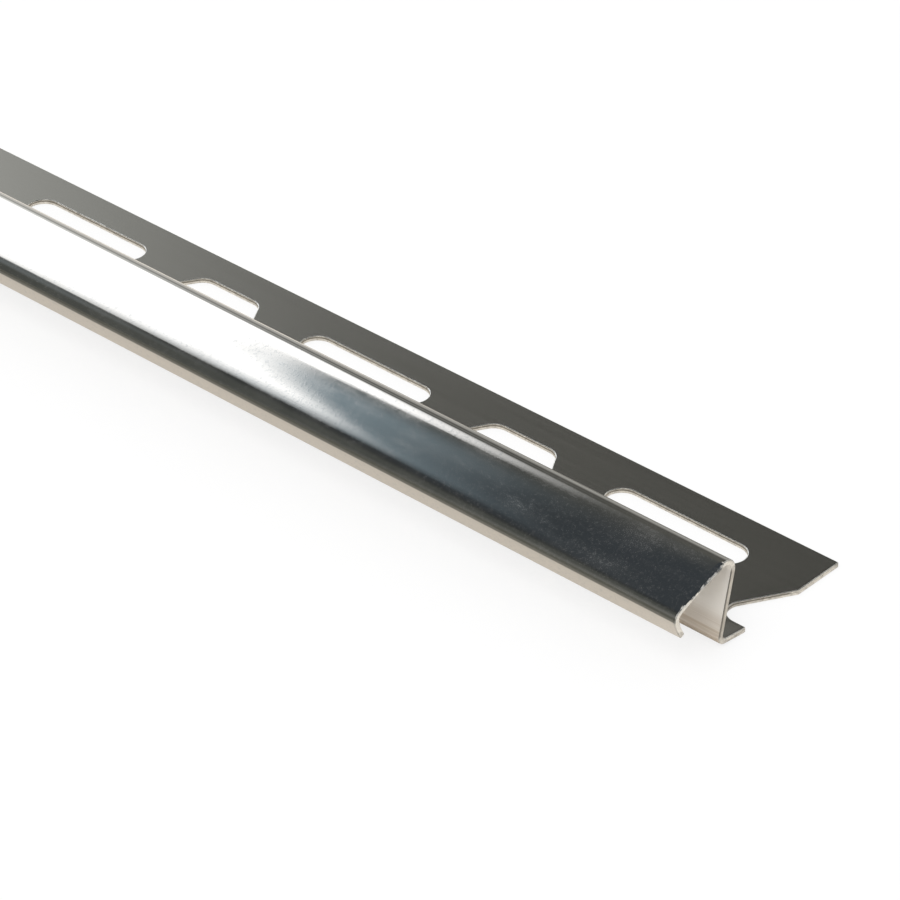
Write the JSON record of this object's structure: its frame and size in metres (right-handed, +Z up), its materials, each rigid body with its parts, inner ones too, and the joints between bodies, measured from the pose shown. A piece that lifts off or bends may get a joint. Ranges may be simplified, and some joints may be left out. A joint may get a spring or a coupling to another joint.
{
  "type": "tile edge trim",
  "caption": "Sloped stainless steel tile edge trim with a punched anchoring leg, a leaning web, a crowned face that falls to the front and a turned-down lip.",
  "frame": {"origin": "centre of the bounding box at the underside of the anchoring leg", "axes": "+X along the strip to the end shown in the picture, +Y to the rear edge of the anchoring leg, +Z up"},
  "size_m": [1, 0.0298, 0.012],
  "materials": {
    "stainless": "bright rolled stainless, polished on the face"
  },
  "bodies": {
    "root": {"edge_trim": "stainless"}
  },
  "joints": []
}
